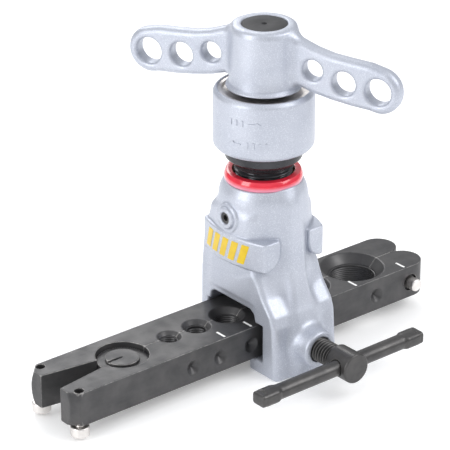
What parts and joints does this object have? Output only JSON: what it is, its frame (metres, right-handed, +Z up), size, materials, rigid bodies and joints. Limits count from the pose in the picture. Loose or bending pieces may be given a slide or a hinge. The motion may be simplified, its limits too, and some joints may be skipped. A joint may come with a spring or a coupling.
{
  "type": "flaring tool",
  "caption": "Hand flaring tool for copper tube: a hinged die bar slides through a cast yoke, a side screw clamps it, and a handle with a reversing ratchet feeds an eccentric cone.",
  "frame": {"origin": "on the tool's vertical axis at the underside of the die bar, where a tube enters the 1/2 inch bore", "axes": "+Z up along the feed screw, +X along the die bar towards its lobed free end, -Y towards the clamp screw"},
  "size_m": [0.1872, 0.1123, 0.1433],
  "materials": {
    "silver_casting": "silver sparkle paint over a fine cast surface",
    "black_steel": "black oxide on machined steel, satin",
    "dark_steel": "dark heat-treated steel, satin",
    "bright_steel": "zinc plated steel, bright",
    "red_ring": "red moulded plastic, glossy",
    "bronze": "bronze, turned",
    "hard_steel": "hardened steel, ground"
  },
  "bodies": {
    "yoke": {"yoke": "silver_casting", "feed_nut": "bronze", "top_ring": "red_ring", "nut_set_screw": "black_steel"},
    "thrust": {"thrust_ball": "hard_steel"},
    "screw": {"feed_screw": "black_steel", "cone_bush": "bronze", "ratchet_barrel": "silver_casting", "lower_ratchet_ring": "hard_steel", "upper_ratchet_ring": "hard_steel", "barrel_cover": "bright_steel", "barrel_circlip": "bright_steel"},
    "cone": {"flare_cone": "hard_steel", "cone_circlip": "dark_steel"},
    "shift": {"spring_seat": "bright_steel", "shift_spring": "bright_steel"},
    "handle": {"handle": "silver_casting", "drive_shaft": "black_steel"},
    "bar": {"rear_jaw": "black_steel", "hinge_pin": "black_steel", "hinge_clip": "dark_steel", "rear_stop_screw": "bright_steel"},
    "jaw": {"front_jaw": "black_steel", "front_stop_screw": "bright_steel", "end_stop_screw": "bright_steel"},
    "tip": {"clamp_tip": "hard_steel"},
    "clamp": {"clamp_screw": "dark_steel"},
    "tommy": {"tommy_bar": "dark_steel"}
  },
  "joints": [
    {"name": "feed_travel", "type": "slide", "parent": "yoke", "child": "thrust", "axis": [0, 0, 1], "range_m": [-0.0021, 0.0241]},
    {"name": "feed_turn", "type": "hinge", "parent": "thrust", "child": "screw", "pos_m": [0, 0, 0.03], "axis": [0, 0, 1], "range_deg": [-360, 4320]},
    {"name": "cone_spin", "type": "hinge", "parent": "screw", "child": "cone", "pos_m": [0.0012, 0, 0.03], "axis": [0, 0, 1], "continuous": true},
    {"name": "push_pull", "type": "slide", "parent": "screw", "child": "shift", "axis": [0, 0, 1], "range_m": [-0.002, 0.002], "deforming": ["shift_spring"]},
    {"name": "ratchet_turn", "type": "hinge", "parent": "shift", "child": "handle", "pos_m": [0, 0, 0.1], "axis": [0, 0, 1], "continuous": true},
    {"name": "bar_slide", "type": "slide", "parent": "yoke", "child": "bar", "axis": [1, 0, 0], "range_m": [-0.0495, 0.049]},
    {"name": "jaw_open", "type": "hinge", "parent": "bar", "child": "jaw", "pos_m": [-0.0727, 0, 0.0073], "axis": [0, 0, -1], "range_deg": [0, 2]},
    {"name": "clamp_travel", "type": "slide", "parent": "yoke", "child": "tip", "axis": [0, -1, 0], "range_m": [-0.00455, 0.0023]},
    {"name": "clamp_turn", "type": "hinge", "parent": "tip", "child": "clamp", "pos_m": [0, -0.03, 0.0069], "axis": [0, -1, 0], "range_deg": [-1080, 540]},
    {"name": "tommy_slide", "type": "slide", "parent": "clamp", "child": "tommy", "axis": [1, 0, 0], "range_m": [-0.0233, 0.0307]}
  ],
  "couplings": [
    {"joint": "feed_travel", "follows": "feed_turn", "m_per_rad": 0.00031831},
    {"joint": "clamp_travel", "follows": "clamp_turn", "m_per_rad": 0.00023873}
  ]
}
